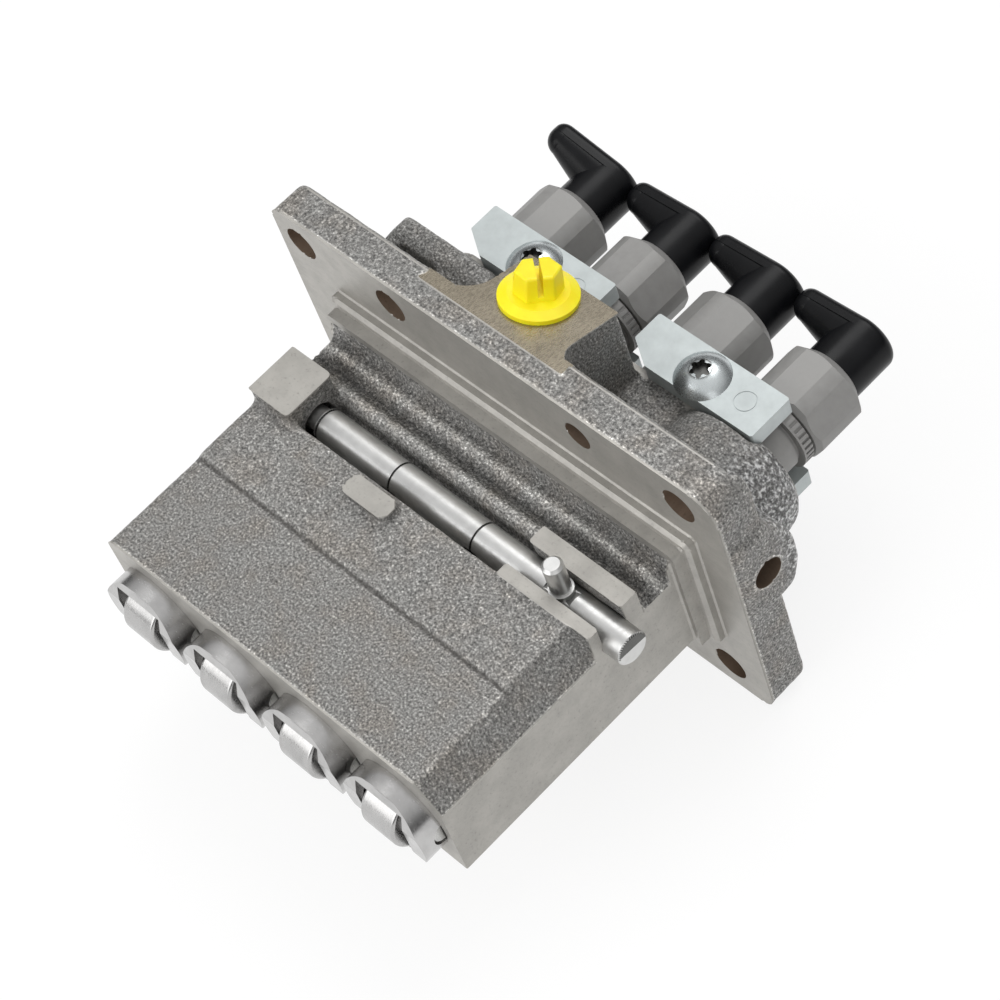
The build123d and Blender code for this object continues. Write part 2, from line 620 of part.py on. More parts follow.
def valve_holder(turn):
    """Delivery valve holder: thread, neck, knurl, rounded hex head and outlet nipple."""
    profile = [
        (HOLDER_CAVITY_R, HOLDER_BOTTOM + SEAT_GAP), (THREAD_R - PIN_FIT, HOLDER_BOTTOM + SEAT_GAP),
        (THREAD_R - PIN_FIT, O_RING_Y - 0.9), (O_RING_R - O_RING_SECTION_R, O_RING_Y - 0.9),
        (O_RING_R - O_RING_SECTION_R, O_RING_Y + 0.9), (HOLDER_NECK_R, O_RING_Y + 0.9),
        (HOLDER_NECK_R, HOLDER_GROOVE_Y[0]), (HOLDER_GROOVE_R, HOLDER_GROOVE_Y[0]),
        (HOLDER_GROOVE_R, HOLDER_GROOVE_Y[1]), (KNURL_R, KNURL_Y[0]), (KNURL_R, KNURL_Y[1]),
        (HOLDER_NECK_R, HEX_Y[0]), (HOLDER_NECK_R, HEX_Y[1]), (CROWN_R, HOLDER_TOP),
        (NIPPLE_R, HOLDER_TOP), (NIPPLE_R, NIPPLE_TOP - 1), (NIPPLE_R - 1, NIPPLE_TOP),
        (OUTLET_CONE_R, NIPPLE_TOP), (OUTLET_R, NIPPLE_TOP - 2), (OUTLET_R, HOLDER_CAVITY_TOP),
        (HOLDER_CAVITY_R, HOLDER_CAVITY_TOP),
    ]
    body = turned(profile)
    width, depth = KNURL_SLOT
    slot = block(KNURL_R - depth, KNURL_R + depth, KNURL_Y[0] + depth, KNURL_Y[1] + depth,
                 -width / 2, width / 2)
    body -= Compound([Rot(0, tooth * 360 / KNURL_TEETH, 0) * slot for tooth in range(KNURL_TEETH)])
    low, high = HEX_Y
    hexagon = RegularPolygon(HEX_ACROSS / sqrt(3), 6)
    head = Pos(0, HOLDER_TOP, 0) * Rot(90, 0, 0) * extrude(hexagon, amount=HOLDER_TOP - low)
    inner_r = HOLDER_CAVITY_R + HEX_LOWER_EDGE
    crown = turned([
        (inner_r, low), (HEX_CORNER_R - HEX_LOWER_EDGE, low), (HEX_CORNER_R, low + HEX_LOWER_EDGE),
        (HEX_CORNER_R, high), (CROWN_R, HOLDER_TOP), (inner_r, HOLDER_TOP),
    ])
    head = Rot(0, turn, 0) * head & crown
    return body + head


def dust_cap(turn):
    """Rubber cap over the outlet nipple, with a teardrop wing that has a round belly below."""
    slab_low = CAP_TOP - WING_SLAB
    tip_x = WING_TIP_R - WING_REACH
    rims = Circle(CAP_R).edges() + (Pos(tip_x, 0) * Circle(WING_TIP_R)).edges()
    slab = Pos(0, slab_low, 0) * Rot(-90, 0, 0) * extrude(make_hull(rims), amount=WING_SLAB)
    slab = fillet(slab.edges().group_by(Axis.Y)[-1], CAP_EDGE_R)
    belly_x = BELLY_TIP_R - WING_REACH
    belly = Pos(belly_x / 2, 0, 0) * Rot(0, 90, 0) * Cone(BELLY_TIP_R, BELLY_R, -belly_x)
    belly += Pos(belly_x, 0, 0) * Sphere(BELLY_TIP_R)
    belly = Pos(0, slab_low, 0) * belly & block(-CUT_REACH, 0, 0, slab_low, -CUT_REACH, CUT_REACH)
    cup = along_y(CAP_R, CAP_BOTTOM + SEAT_GAP, slab_low)
    cavity = along_y(CAP_BORE_R, CAP_BOTTOM - 1, NIPPLE_TOP + SEAT_GAP)
    return Rot(0, turn, 0) * (cup + belly + slab) - cavity


def o_ring():
    """Seal in the groove of a holder's thread."""
    ring = Torus(O_RING_R, O_RING_SECTION_R)
    return Pos(0, O_RING_Y, 0) * Rot(90, 0, 0) * ring


def barrel():
    """Plunger barrel with a fuel port and a flange that seats in the valve block."""
    body = turned([
        (PLUNGER_R + PIN_FIT, BARREL_BOTTOM), (BARREL_NECK_R, BARREL_BOTTOM),
        (BARREL_NECK_R, BARREL_SHOULDER + SEAT_GAP), (BARREL_R, BARREL_SHOULDER + SEAT_GAP),
        (BARREL_R, BARREL_FLANGE_BOTTOM + SEAT_GAP), (BARREL_FLANGE_R, BARREL_FLANGE_BOTTOM + SEAT_GAP),
        (BARREL_FLANGE_R, BARREL_TOP), (PLUNGER_R + PIN_FIT, BARREL_TOP),
    ])
    return body - along_z(BARREL_PORT_R, -20, 20, 0, BARREL_PORT_Y)


def valve_seat():
    """Delivery valve seat between the barrel and the washer."""
    return turned([
        (SEAT_BORE_R, BARREL_TOP + SEAT_GAP), (SEAT_R, BARREL_TOP + SEAT_GAP),
        (SEAT_R, SEAT_TOP), (SEAT_BORE_R, SEAT_TOP),
    ])


def washer():
    """Copper washer under a holder."""
    ring = turned([
        (6.0, SEAT_TOP + SEAT_GAP / 2), (SEAT_R, SEAT_TOP + SEAT_GAP / 2),
        (SEAT_R, SEAT_TOP + WASHER), (6.0, SEAT_TOP + WASHER),
    ])
    return ring


def delivery_valve():
    """Valve that lifts off its seat: fluted stem and a cap that carries the spring."""
    cap_low = SEAT_TOP + 0.05
    return turned([
        (0, SEAT_TOP - VALVE_STEM), (VALVE_STEM_R, SEAT_TOP - VALVE_STEM), (VALVE_STEM_R, cap_low),
        (VALVE_CAP_R, cap_low + 0.8), (VALVE_CAP_R, cap_low + VALVE_CAP - 1.2),
        (VALVE_SPRING_R - VALVE_SPRING_WIRE_R - 0.2, cap_low + VALVE_CAP - 1.2),
        (VALVE_SPRING_R - VALVE_SPRING_WIRE_R - 0.2, cap_low + VALVE_CAP), (0, cap_low + VALVE_CAP),
    ])


def valve_spring(x):
    """Spring between a delivery valve and the roof of its holder."""
    low = SEAT_TOP + 0.05 + VALVE_CAP - 1.2 + SEAT_GAP
    return coil(VALVE_SPRING_R, VALVE_SPRING_WIRE_R, low, HOLDER_CAVITY_TOP - SEAT_GAP,
                VALVE_SPRING_TURNS, x)


def upper_seat():
    """Washer that the plunger spring pushes up against the housing."""
    low = SPRING_BORE_TOP - SEAT_GAP - UPPER_SEAT
    return along_y(UPPER_SEAT_R, low, low + UPPER_SEAT) - along_y(UPPER_SEAT_HOLE, low - 1, low + 9)


def lower_seat():
    """Seat of the plunger spring in the tappet's cup, clear of the plunger foot."""
    low = LOWER_SEAT_Y
    seat = along_y(LOWER_SEAT_R, low, low + LOWER_SEAT)
    seat -= along_y(PLUNGER_R + FREE_GAP, low - 1, low + 9)
    return seat


def plunger():
    """Plunger with its foot, driving vane, spill groove and helix."""
    body = turned([
        (0, PLUNGER_FOOT_Y), (PLUNGER_FOOT_R, PLUNGER_FOOT_Y),
        (PLUNGER_FOOT_R, PLUNGER_FOOT_Y + PLUNGER_FOOT), (PLUNGER_R, PLUNGER_FOOT_Y + PLUNGER_FOOT),
        (PLUNGER_R, PLUNGER_TOP - 9), (PLUNGER_GROOVE_R, PLUNGER_TOP - 9),
        (PLUNGER_GROOVE_R, PLUNGER_TOP - 7), (PLUNGER_R, PLUNGER_TOP - 7),
        (PLUNGER_R, PLUNGER_TOP), (0, PLUNGER_TOP),
    ])
    body += block(-VANE_HALF_X, VANE_HALF_X, VANE_BOTTOM, VANE_TOP, -VANE_HALF_Z, VANE_HALF_Z)
    body -= block(PLUNGER_R - 0.9, PLUNGER_R + 1, PLUNGER_TOP - 8, PLUNGER_TOP + 1, -0.9, 0.9)
    return body


def control_sleeve():
    """Sleeve on the barrel neck that turns the plunger by its vane, with the ball arm."""
    bore_r = BARREL_NECK_R + RUNNING_FIT
    outer_r = bore_r + SLEEVE_WALL
    sleeve = along_y(outer_r, SLEEVE_BOTTOM, SLEEVE_TOP)
    sleeve += along_z(ARM_R, bore_r, ARM_REACH, 0, RACK_Y)
    sleeve += Pos(0, RACK_Y, ARM_REACH) * Sphere(BALL_R)
    sleeve -= along_y(bore_r, SLEEVE_BOTTOM - 1, SLEEVE_TOP + 1)
    sleeve -= block(-CUT_REACH, CUT_REACH, SLEEVE_BOTTOM - 1, VANE_TOP + TAPPET_LIFT + 0.6,
                    -SLEEVE_SLOT_HALF, SLEEVE_SLOT_HALF)
    return sleeve


def control_rack():
    """Round rack rod with ring grooves over the elements and notches for the ball arms."""
    rod = along_x(RACK_R, RACK_TIP, RACK_END, RACK_Y, RACK_Z)
    rod = chamfer(rod.edges().group_by(Axis.X)[0], RACK_TIP_CHAMFER)
    rod = chamfer(rod.edges().group_by(Axis.X)[-1], RACK_END_CHAMFER)
    rod += along_x(RACK_TAIL_R, RACK_TAIL_END, RACK_TIP + RACK_TIP_CHAMFER, RACK_Y, RACK_Z)
    mouth = RACK_Z - RACK_R
    for x in ROW_X:
        half = RACK_NOTCH_HALF
        wide = half + RACK_NOTCH_MOUTH
        outline = [
            (x - wide, mouth - 1), (x - wide, mouth), (x - half, mouth + RACK_NOTCH_MOUTH_HEIGHT),
            (x - half, RACK_NOTCH_ROOF), (x + half, RACK_NOTCH_ROOF),
            (x + half, mouth + RACK_NOTCH_MOUTH_HEIGHT), (x + wide, mouth), (x + wide, mouth - 1),
        ]
        rod -= prism_y(outline, RACK_Y - 10, RACK_Y + 10)
    for x in ROW_X[:-1]:
        ring_x = max(x, RACK_TIP + FIRST_GROOVE)
        ring = along_x(RACK_R + 1, ring_x - RING_GROOVE_WIDTH / 2, ring_x + RING_GROOVE_WIDTH / 2,
                       RACK_Y, RACK_Z)
        ring -= along_x(RACK_R - RING_GROOVE_DEPTH, ring_x - 1, ring_x + 1, RACK_Y, RACK_Z)
        rod -= ring
    top = RACK_Z + RACK_R
    rod -= block(RACK_PIN_X - RACK_FLAT_HALF, RACK_PIN_X + RACK_FLAT_HALF, RACK_Y - 9, RACK_Y + 9,
                 top - RACK_FLAT_DROP, top + 1)
    rod -= along_z(RACK_PIN_R + PIN_FIT, top - RACK_PIN_DEPTH, top + 1, RACK_PIN_X, RACK_Y)
    return rod


def rack_pin():
    """Pin pressed into the rack, with a collar and a chamfered top."""
    top = RACK_Z + RACK_R
    pin = along_z(RACK_PIN_R, top - RACK_PIN_DEPTH + SEAT_GAP, RACK_PIN_TOP, RACK_PIN_X, RACK_Y)
    pin = chamfer(pin.edges().group_by(Axis.Z)[-1], 0.7)
    collar = along_z(RACK_PIN_COLLAR_R, top - RACK_FLAT_DROP + SEAT_GAP, RACK_PIN_COLLAR_TOP,
                     RACK_PIN_X, RACK_Y)
    return pin + collar


def tappet():
    """Roller tappet: cup above, fork with bevelled arms below, guide slot behind."""
    radius = TAPPET_BORE_R - RUNNING_FIT
    body = along_y(radius, TAPPET_BOTTOM, TAPPET_TOP)
    body -= along_y(TAPPET_CUP_R, TAPPET_TOP - TAPPET_CUP_DEPTH, TAPPET_TOP + 1)
    cavity_z = ROLLER_R + FREE_GAP
    body -= block(-FORK_HALF, FORK_HALF, TAPPET_BOTTOM - 1, ROLLER_Y + ROLLER_R + FORK_ROOF_GAP,
                  -cavity_z, cavity_z)
    bevel_run, bevel_rise = ARM_BEVEL
    for side in (-1, 1):
        outline = [
            (TAPPET_BOTTOM - 1, side * ARM_FLAT_HALF), (TAPPET_BOTTOM, side * ARM_FLAT_HALF),
            (TAPPET_BOTTOM + bevel_rise, side * (ARM_FLAT_HALF + bevel_run)),
            (TAPPET_BOTTOM + bevel_rise, side * TAPPET_BORE_R * 2),
            (TAPPET_BOTTOM - 1, side * TAPPET_BORE_R * 2),
        ]
        body -= prism_x(outline, -CUT_REACH, CUT_REACH)
    body -= along_x(ROLLER_PIN_R + PIN_FIT, -TAPPET_BORE_R, TAPPET_BORE_R, ROLLER_Y, 0)
    slot_low = GUIDE_PIN_Y - GUIDE_PIN_R - TAPPET_LIFT - 0.2
    slot_high = GUIDE_PIN_Y + GUIDE_PIN_R + 0.1
    half = GUIDE_PIN_R + RUNNING_FIT
    body -= block(-half, half, slot_low, slot_high, -20, -radius + GUIDE_SLOT_DEPTH)
    return body


def roller():
    """Cam roller with raised hubs that run against the fork arms."""
    hub_half = FORK_HALF - FORK_SIDE_GAP
    wheel = along_x(ROLLER_R, -ROLLER_HALF, ROLLER_HALF, ROLLER_Y, 0)
    wheel = fillet(wheel.edges(), 0.8)
    wheel += along_x(ROLLER_HUB_R, -hub_half, hub_half, ROLLER_Y, 0)
    return wheel - along_x(ROLLER_PIN_R + ROLLER_BORE_FIT, -FORK_HALF, FORK_HALF, ROLLER_Y, 0)


def roller_pin():
    """Pin pressed through both fork arms."""
    pin = along_x(ROLLER_PIN_R, -ROLLER_PIN_HALF, ROLLER_PIN_HALF, ROLLER_Y, 0)
    return chamfer(pin.edges(), 0.5)


def guide_pin():
    """Pin through the back wall that stands in the tappet's slot."""
    inner = -(TAPPET_BORE_R - GUIDE_PIN_REACH)
    return along_z(GUIDE_PIN_R, BLOCK_BACK + 0.2, inner, 0, GUIDE_PIN_Y)


def plunger_spring(x):
    """Spring that holds the plunger foot and tappet down."""
    low = LOWER_SEAT_Y + LOWER_SEAT + SEAT_GAP
    high = SPRING_BORE_TOP - UPPER_SEAT - 2 * SEAT_GAP
    return coil(SPRING_R, SPRING_WIRE_R, low, high, SPRING_TURNS, x)


def parts():
    """Every node of the pump by name."""
    plate = lock_plate()
    screw = lock_screw()
    plate_turn = Pos(0, 0, 0) * Rot(0, 180, 0)
    made = {
        "pump_housing": pump_housing(),
        "inlet_plug": inlet_plug(),
        "lock_plate_left": Pos(-PLATE_X, 0, 0) * plate,
        "lock_plate_right": Pos(PLATE_X, 0, 0) * plate,
        "rear_lock_plate_left": Pos(-PLATE_X, 0, 0) * plate_turn * plate,
        "rear_lock_plate_right": Pos(PLATE_X, 0, 0) * plate_turn * plate,
        "lock_plate_screws": Compound([
            Pos(side * PLATE_X, 0, 0) * face * screw
            for side in (-1, 1) for face in (Rot(0, 0, 0), plate_turn)
        ]),
        "holder_o_rings": in_rows(o_ring()),
        "plunger_barrels": in_rows(barrel()),
        "delivery_valve_seats": in_rows(valve_seat()),
        "seat_washers": in_rows(washer()),
        "upper_spring_seats": in_rows(upper_seat()),
        "tappet_guide_pins": in_rows(guide_pin()),
        "control_rack": control_rack(),
        "rack_pin": rack_pin(),
    }
    shared = {
        "delivery_valve": delivery_valve(),
        "control_sleeve": control_sleeve(),
        "plunger": plunger(),
        "tappet": tappet(),
        "roller": roller(),
        "roller_pin": roller_pin(),
        "lower_spring_seat": lower_seat(),
    }
    for i, x in enumerate(ROW_X):
        number = i + 1
        holder_turn = HEX_TURN[i % len(HEX_TURN)]
        wing_turn = WING_TURN[i % len(WING_TURN)]
        made[f"delivery_valve_holder_{number}"] = Pos(x, 0, 0) * valve_holder(holder_turn)
        made[f"dust_cap_{number}"] = Pos(x, 0, 0) * dust_cap(wing_turn)
        made[f"plunger_spring_{number}"] = plunger_spring(x)
        made[f"valve_spring_{number}"] = valve_spring(x)
        for name, piece in shared.items():
            made[f"{name}_{number}"] = Pos(x, 0, 0) * piece
    return made


os.makedirs("parts", exist_ok=True)
for name, piece in parts().items():
    export_step(piece, f"parts/{name}.step")
    print(name, len(piece.solids()), round(piece.volume, 1), piece.is_valid)
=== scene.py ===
import math

import bmesh
import bpy
import numpy as np
from mathutils import Matrix, Vector, noise
from mathutils.bvhtree import BVHTree
from mathutils.kdtree import KDTree

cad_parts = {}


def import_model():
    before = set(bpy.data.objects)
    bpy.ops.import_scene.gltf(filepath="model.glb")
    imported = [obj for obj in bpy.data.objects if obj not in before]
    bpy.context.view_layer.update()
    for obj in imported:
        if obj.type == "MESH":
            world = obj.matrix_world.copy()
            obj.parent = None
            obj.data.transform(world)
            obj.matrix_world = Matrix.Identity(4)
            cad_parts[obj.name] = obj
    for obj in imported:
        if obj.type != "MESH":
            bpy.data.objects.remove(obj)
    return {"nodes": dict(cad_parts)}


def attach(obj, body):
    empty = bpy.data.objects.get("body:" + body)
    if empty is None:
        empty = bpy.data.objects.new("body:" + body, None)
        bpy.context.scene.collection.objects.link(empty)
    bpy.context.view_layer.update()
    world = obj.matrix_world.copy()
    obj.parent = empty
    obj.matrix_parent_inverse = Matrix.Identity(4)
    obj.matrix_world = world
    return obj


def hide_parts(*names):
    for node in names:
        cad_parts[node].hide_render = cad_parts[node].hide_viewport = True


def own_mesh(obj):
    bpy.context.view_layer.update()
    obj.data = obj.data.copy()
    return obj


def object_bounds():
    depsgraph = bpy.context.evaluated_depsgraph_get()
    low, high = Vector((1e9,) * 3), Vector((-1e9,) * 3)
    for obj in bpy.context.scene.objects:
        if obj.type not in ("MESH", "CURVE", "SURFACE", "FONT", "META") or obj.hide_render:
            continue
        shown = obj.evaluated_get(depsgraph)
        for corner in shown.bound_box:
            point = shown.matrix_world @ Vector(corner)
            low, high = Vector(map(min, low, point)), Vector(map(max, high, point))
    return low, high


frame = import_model()
cad_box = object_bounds()
MM = 0.001

# Camera: rows point right, down and forward in the picture
VIEW_ROWS = (
    (0.68841, 0.68976, -0.22433),
    (0.49763, -0.67416, -0.54578),
    (-0.52769, 0.26409, -0.80734),
)
VIEW_SHIFT = (0.0067376, -0.0090098, 0.801932)
FOCAL = 3391.62
PICTURE = 1000.0
SENSOR = 36.0

# Lamps: name, direction from the object, distance, size and strength
LAMPS = (
    ("key", (-0.25, 0.75, 1.1), 1.5, 1.1, 9.0),
    ("fill", (1.0, -0.45, 0.45), 1.5, 1.2, 2.5),
    ("low", (-0.25, -1.0, 0.50), 1.5, 1.5, 12.0),
)
TARGET = (0.0, -0.01, 0.0)

# Surround: grey by height, from the horizon (0) to straight up (1)
SURROUND = ((0.0, 0.08), (0.25, 0.16), (0.55, 0.55), (0.85, 0.85))

# Floor: half its width and its drop below the object in metres, its glow and the glow's share
FLOOR_HALF = 6.0
FLOOR_DROP = 0.5 * MM
FLOOR_GLOW = 1.05
FLOOR_GLOW_SHARE = 0.8

# Skin of the housing: size of its quads, rounds of softening, and size and depth of the sand's waves in mm
SKIN_VOXEL = 0.5 * MM
SKIN_ROUNDS = 10
SKIN_PULL = 0.6
SKIN_WAVES = ((7.0, 0.10), (1.6, 0.07))
WAVE_CREST = 0.7

# Crisp edges: cosine below which an edge is sharp, space between its points, and how far it pulls the skin
SHARP_COSINE = 0.87
EDGE_STEP = 0.12 * MM
EDGE_PULL = 0.3 * MM

# Crease at the foot of the block's front step, in mm: its row, half width and depth, and where it is
CREASE_Y = -53.0
CREASE_HALF = 0.55
CREASE_DEPTH = 0.45
CREASE_ABOVE_Z = 16.0
CREASE_LEFT_OF_X = 50.0

# Tone of the cast skin, in mm: the coarse end mass, the bosses, and the neck's lower and upper limit
COARSE_FROM_X = (46.0, 53.0)
COARSE_FROM_Y = (11.5, 15.5)
BOSSES_FROM_Y = (10.5, 14.0)
NECK_FROM_Y = (-19.0, -16.0)
NECK_TO_Y = (-7.5, -6.5)

# Neck from the rack channel to the pilot: its rows in mm and their tone, painted highlight on the crests and
# painted shade in the valleys
NECK_ROWS = (-19.5, -6.5)
NECK_PAINTED_LIGHT = (
    (0.0, 1.0), (0.16, 1.9), (0.30, 1.1), (0.44, 0.42),
    (0.57, 0.9), (0.70, 1.9), (0.84, 0.8), (1.0, 0.9),
)

# Surface kinds of the housing, and its materials in the same order
CAST, MACHINED, MILLED, DRILLED = range(4)
HOUSING_MATERIALS = ("cast_skin", "machined_iron", "milled_iron", "drilled_iron")

# Bores and holes of the housing, in mm
BORE_X = (-42.0, -14.0, 14.0, 42.0)
BORE_R = 13.2
BORE_BELOW_Y = -55.0
FLANGE_HOLE_X = (-67.55, -35.95, 26.55, 58.15)
FLANGE_HOLE_Z = (-34.0, 34.0)
FLANGE_HOLE_R = 5.1
FLANGE_HOLE_Y = (-0.5, 13.0)
SIDE_HOLE_Y = 8.4
SIDE_HOLE_Z = 8.9
SIDE_HOLE_R = 4.5
SIDE_HOLE_END_X = 55.0
SIDE_HOLE_MOUTH_X = 60.0

# Cosines from which a face counts as facing a side, as lying in the inlet face, or as the wall of a hole
FACING = 0.9
IN_INLET_FACE = 0.995
WALL = 0.6
INLET_FACE = (0.0, 0.2706, 0.9627)
INLET_ABOVE_Z = 34.0

# Machined faces of the housing: their places along x, y and z in mm, and the sides that they face
FAR = 200.0
ALL = (-FAR, FAR)
MACHINED_FACES = {
    "pilot": (ALL, (-6.4, -0.5), ALL, ()),
    "flange face": (ALL, (-0.5, 0.4), ALL, ("-y",)),
    "top of the valve block": (ALL, (30.5, FAR), (-12.4, 12.4), ("+y",)),
    "seats of the lock plates": (ALL, (29.5, FAR), (-12.5, 12.5), ("-z", "+z")),
    "pads": (ALL, (-FAR, -6.0), (20.5, FAR), ("+z",)),
    "rack bearing": ((27.0, FAR), (-FAR, -6.0), (18.6, FAR), ("+z",)),
    "bottom of the block": (ALL, (-FAR, -82.0), ALL, ("-y",)),
    "back of the block": (ALL, (-FAR, -6.0), (-FAR, -14.9), ("-z",)),
    "left end of the block": ((-FAR, -56.4), (-FAR, -6.0), ALL, ("-x", "+x")),
    "right end of the block": ((56.9, FAR), (-FAR, -6.0), ALL, ("-x", "+x")),
}
SIDES = {
    "-x": (-1, 0, 0), "+x": (1, 0, 0), "-y": (0, -1, 0), "+y": (0, 1, 0), "-z": (0, 0, -1), "+z": (0, 0, 1),
}

# Socket of a lock plate screw, in mm: its axis, radius, and lowest and highest z
SOCKET_X = 28.0
SOCKET_Y = 35.7
SOCKET_R = 2.95
SOCKET_Z = (18.0, 20.25)

# Ring grooves of the rack, in mm: its axis, the radius that they stay within, and the x that they start from
RACK_Y = -25.5
RACK_Z = 11.2
GROOVE_R = 4.25
GROOVE_FROM_X = -40.0


def camera():
    """Camera at the photograph's place, roll included."""
    rows = Matrix(VIEW_ROWS)
    turn = Matrix((rows[0], -rows[1], -rows[2])).transposed()
    data = bpy.data.cameras.new("camera")
    data.sensor_width = SENSOR
    data.lens = SENSOR * FOCAL / PICTURE
    data.clip_start = 0.01
    data.clip_end = 50.0
    made = bpy.data.objects.new("camera", data)
    place = -(rows.transposed() @ Vector(VIEW_SHIFT))
    made.matrix_world = Matrix.Translation(place) @ turn.to_4x4()
    bpy.context.scene.collection.objects.link(made)
    bpy.context.scene.camera = made


def lamps():
    """Soft area lamps that all look at the object."""
    for name, direction, distance, size, strength in LAMPS:
        data = bpy.data.lights.new(name, "AREA")
        data.shape = "DISK"
        data.size = size
        data.energy = strength
        made = bpy.data.objects.new(name, data)
        way = Vector(direction).normalized()
        made.location = Vector(TARGET) + way * distance
        made.rotation_mode = "QUATERNION"
        made.rotation_quaternion = way.to_track_quat("Z", "Y")
        bpy.context.scene.collection.objects.link(made)


def set_stops(ramp, stops):
    """Gives a colour ramp its (position, colour or grey) stops."""
    elements = ramp.color_ramp.elements
    while len(elements) < len(stops):
        elements.new(0.5)
    for element, (position, colour) in zip(elements, stops):
        element.position = position
        rgb = (colour,) * 3 if isinstance(colour, (int, float)) else colour
        element.color = (*rgb, 1.0)


class Look:
    """A node material: the wanted nodes are added by name and linked to the shader."""

    def __init__(self, name, colour=(0.5, 0.5, 0.5), metallic=0.0, roughness=0.5, **fixed):
        self.material = bpy.data.materials.new(name)
        self.material.use_nodes = True
        self.tree = self.material.node_tree
        self.shader = self.tree.nodes["Principled BSDF"]
        self.output = self.tree.nodes["Material Output"]
        self.put("Base Color", (*colour, 1.0))
        self.put("Metallic", metallic)
        self.put("Roughness", roughness)
        for socket, value in fixed.items():
            self.put(socket.replace("_", " "), value)
        self.coords = self.node("ShaderNodeTexCoord").outputs["Object"]

    def node(self, kind, **settings):
        """A new node with its settings."""
        made = self.tree.nodes.new(kind)
        for key, value in settings.items():
            setattr(made, key, value)
        return made

    def feed(self, socket, value):
        """Links a socket to another one, or sets its value."""
        if isinstance(value, bpy.types.NodeSocket):
            self.tree.links.new(value, socket)
        else:
            socket.default_value = value

    def put(self, socket, value):
        """Links or sets a socket of the shader."""
        self.feed(self.shader.inputs[socket], value)

    def stretched(self, factors):
        """Coordinates scaled by a factor on each axis."""
        made = self.node("ShaderNodeMapping")
        self.feed(made.inputs["Vector"], self.coords)
        made.inputs["Scale"].default_value = factors
        return made.outputs["Vector"]

    def noise(self, size_mm, detail=2.0, roughness=0.5, vector=None):
        """Noise whose features are about size_mm wide."""
        made = self.node("ShaderNodeTexNoise")
        self.feed(made.inputs["Vector"], vector or self.coords)
        made.inputs["Scale"].default_value = 1.0 / (size_mm * MM)
        made.inputs["Detail"].default_value = detail
        made.inputs["Roughness"].default_value = roughness
        return made.outputs["Fac"]

    def ramp(self, value, *stops):
        """Colour ramp with (position, colour or grey) stops."""
        made = self.node("ShaderNodeValToRGB")
        self.feed(made.inputs["Fac"], value)
        set_stops(made, stops)
        return made.outputs["Color"]

    def spread(self, value, low, high, to_low=0.0, to_high=1.0):
        """Maps a value range onto another, clamped."""
        made = self.node("ShaderNodeMapRange")
        self.feed(made.inputs["Value"], value)
        for socket, number in zip(("From Min", "From Max", "To Min", "To Max"),
                                  (low, high, to_low, to_high)):
            made.inputs[socket].default_value = number
        return made.outputs["Result"]

    def zone(self, value, limits_mm, to_low=0.0, to_high=1.0):
        """Maps a coordinate between two limits in mm onto a range."""
        low, high = limits_mm
        return self.spread(value, low * MM, high * MM, to_low, to_high)

    def mix(self, factor, first, second, blend="MIX"):
        """Two colours mixed by a factor."""
        made = self.node("ShaderNodeMix", data_type="RGBA", blend_type=blend)
        self.feed(made.inputs[0], factor)
        for socket, value in ((made.inputs[6], first), (made.inputs[7], second)):
            if isinstance(value, tuple):
                value = (*value, 1.0)
            self.feed(socket, value)
        return made.outputs[2]

    def bump(self, height, depth_mm, strength=1.0, under=None):
        """Normal from a height pattern depth_mm deep."""
        made = self.node("ShaderNodeBump")
        made.inputs["Strength"].default_value = strength
        made.inputs["Distance"].default_value = depth_mm * MM
        self.feed(made.inputs["Height"], height)
        if under is not None:
            self.feed(made.inputs["Normal"], under)
        self.put("Normal", made.outputs["Normal"])
        return made.outputs["Normal"]

    def reckon(self, operation, first, second):
        """Two numbers joined by a Math node."""
        made = self.node("ShaderNodeMath", operation=operation)
        self.feed(made.inputs[0], first)
        self.feed(made.inputs[1], second)
        return made.outputs[0]

    def product(self, first, second):
        """Two numbers multiplied."""
        return self.reckon("MULTIPLY", first, second)

    def total(self, first, second):
        """Two numbers added."""
        return self.reckon("ADD", first, second)

    def axes(self):
        """The three object coordinates, in metres."""
        made = self.node("ShaderNodeSeparateXYZ")
        self.feed(made.inputs["Vector"], self.coords)
        return made.outputs


